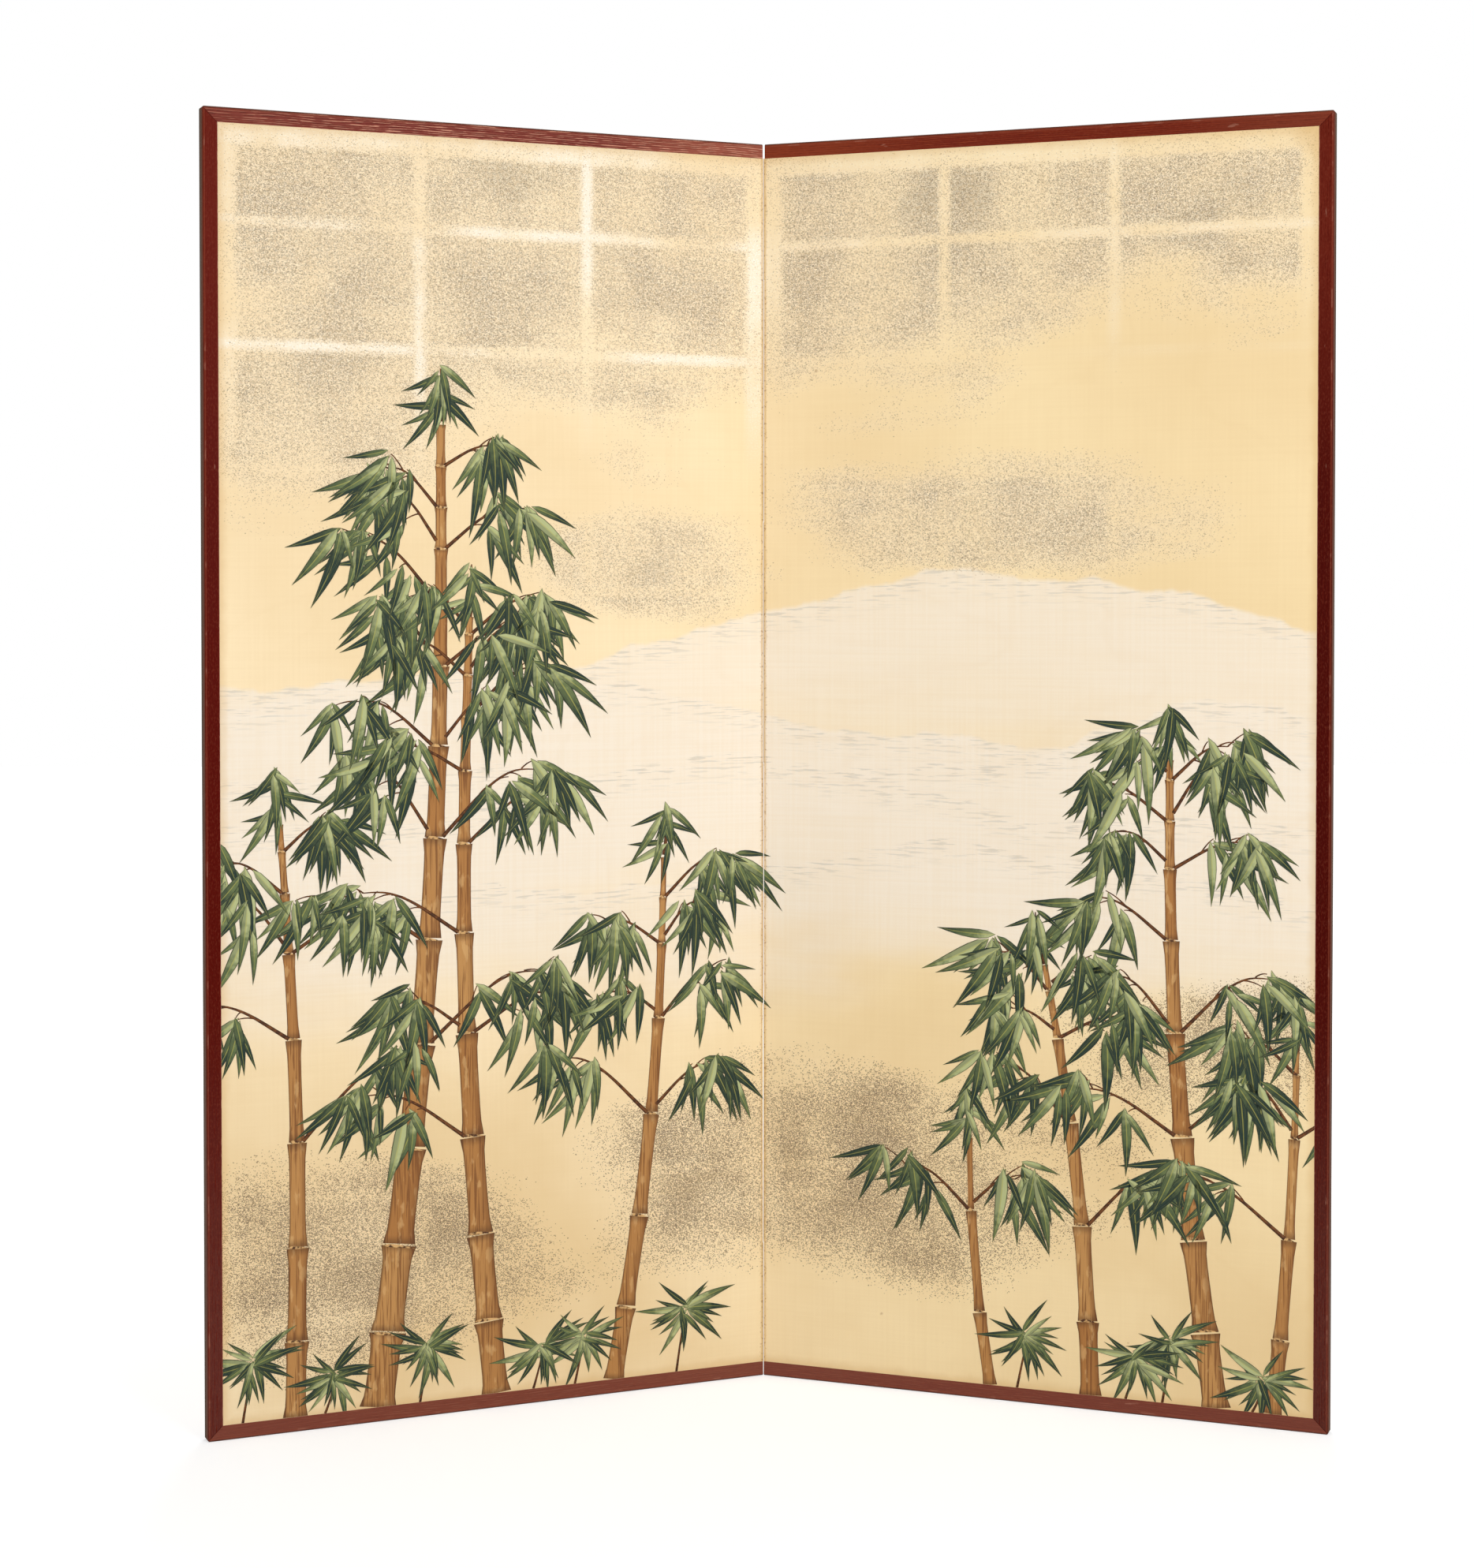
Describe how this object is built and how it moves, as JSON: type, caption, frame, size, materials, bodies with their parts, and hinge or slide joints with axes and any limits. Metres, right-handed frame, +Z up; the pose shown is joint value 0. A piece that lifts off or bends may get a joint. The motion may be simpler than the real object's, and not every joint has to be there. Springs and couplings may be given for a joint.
{
  "type": "folding screen",
  "caption": "Free-standing folding screen: tall mitred lacquer-framed panels of picture silk over a papered lattice, joined by double-acting paper hinges.",
  "frame": {"origin": "middle of the screen's footprint, on the floor, with the panels 44.3 degrees from flat", "axes": "+Z up; -Y towards the viewer of the picture side; +X to the viewer's right; the fold is parallel to Z"},
  "size_m": [1.4732, 0.3147, 1.727],
  "materials": {
    "frame_lacquer": "red-brown wiped lacquer over open-grained wood, satin",
    "core_cedar": "planed, unfinished",
    "lining_paper": "layers of mulberry paper, matt",
    "picture_silk": "painted silk on paper, sprinkled with metal leaf, aged",
    "back_paper": "plain sized covering paper in lapped sheets, matt",
    "hinge_paper": "tough layered mulberry paper, matt",
    "nail_iron": "forged"
  },
  "bodies": {
    "left_panel": {"left_back_hinge_flaps": "hinge_paper", "left_back_lining": "lining_paper", "left_back_paper": "back_paper", "left_core_bottom_rail": "core_cedar", "left_core_cross_ribs": "core_cedar", "left_core_fold_stile": "core_cedar", "left_core_outer_stile": "core_cedar", "left_core_top_rail": "core_cedar", "left_core_upright_ribs": "core_cedar", "left_frame_bottom": "frame_lacquer", "left_frame_nails": "nail_iron", "left_frame_side": "frame_lacquer", "left_frame_top": "frame_lacquer", "left_front_hinge_flaps": "hinge_paper", "left_front_lining": "lining_paper", "left_picture_silk": "picture_silk"},
    "right_panel": {"right_back_hinge_flaps": "hinge_paper", "right_back_lining": "lining_paper", "right_back_paper": "back_paper", "right_core_bottom_rail": "core_cedar", "right_core_cross_ribs": "core_cedar", "right_core_fold_stile": "core_cedar", "right_core_outer_stile": "core_cedar", "right_core_top_rail": "core_cedar", "right_core_upright_ribs": "core_cedar", "right_frame_bottom": "frame_lacquer", "right_frame_nails": "nail_iron", "right_frame_side": "frame_lacquer", "right_frame_top": "frame_lacquer", "right_front_hinge_flaps": "hinge_paper", "right_front_lining": "lining_paper", "right_picture_silk": "picture_silk"},
    "hinge_leaves_a": {"hinge_leaf_1": "hinge_paper", "hinge_leaf_3": "hinge_paper", "hinge_leaf_5": "hinge_paper"},
    "hinge_leaves_b": {"hinge_leaf_2": "hinge_paper", "hinge_leaf_4": "hinge_paper", "hinge_leaf_6": "hinge_paper"}
  },
  "joints": [
    {"name": "fold_forward", "type": "hinge", "parent": "hinge_leaves_a", "child": "left_panel", "pos_m": [0, 0.13913, 0], "axis": [0, 0, -1], "range_deg": [-135.7, 44.3]},
    {"name": "fold_backward", "type": "hinge", "parent": "hinge_leaves_a", "child": "right_panel", "pos_m": [0.00773, 0.15812, 0], "axis": [0, 0, 1], "range_deg": [0, 180]},
    {"name": "leaves_b_follow", "type": "hinge", "parent": "left_panel", "child": "hinge_leaves_b", "pos_m": [-0.00773, 0.15812, 0], "axis": [0, 0, 1], "range_deg": [0, 180], "deforming": ["hinge_leaf_2", "hinge_leaf_4", "hinge_leaf_6"]}
  ],
  "couplings": [
    {"joint": "leaves_b_follow", "follows": "fold_backward", "ratio": 1}
  ]
}
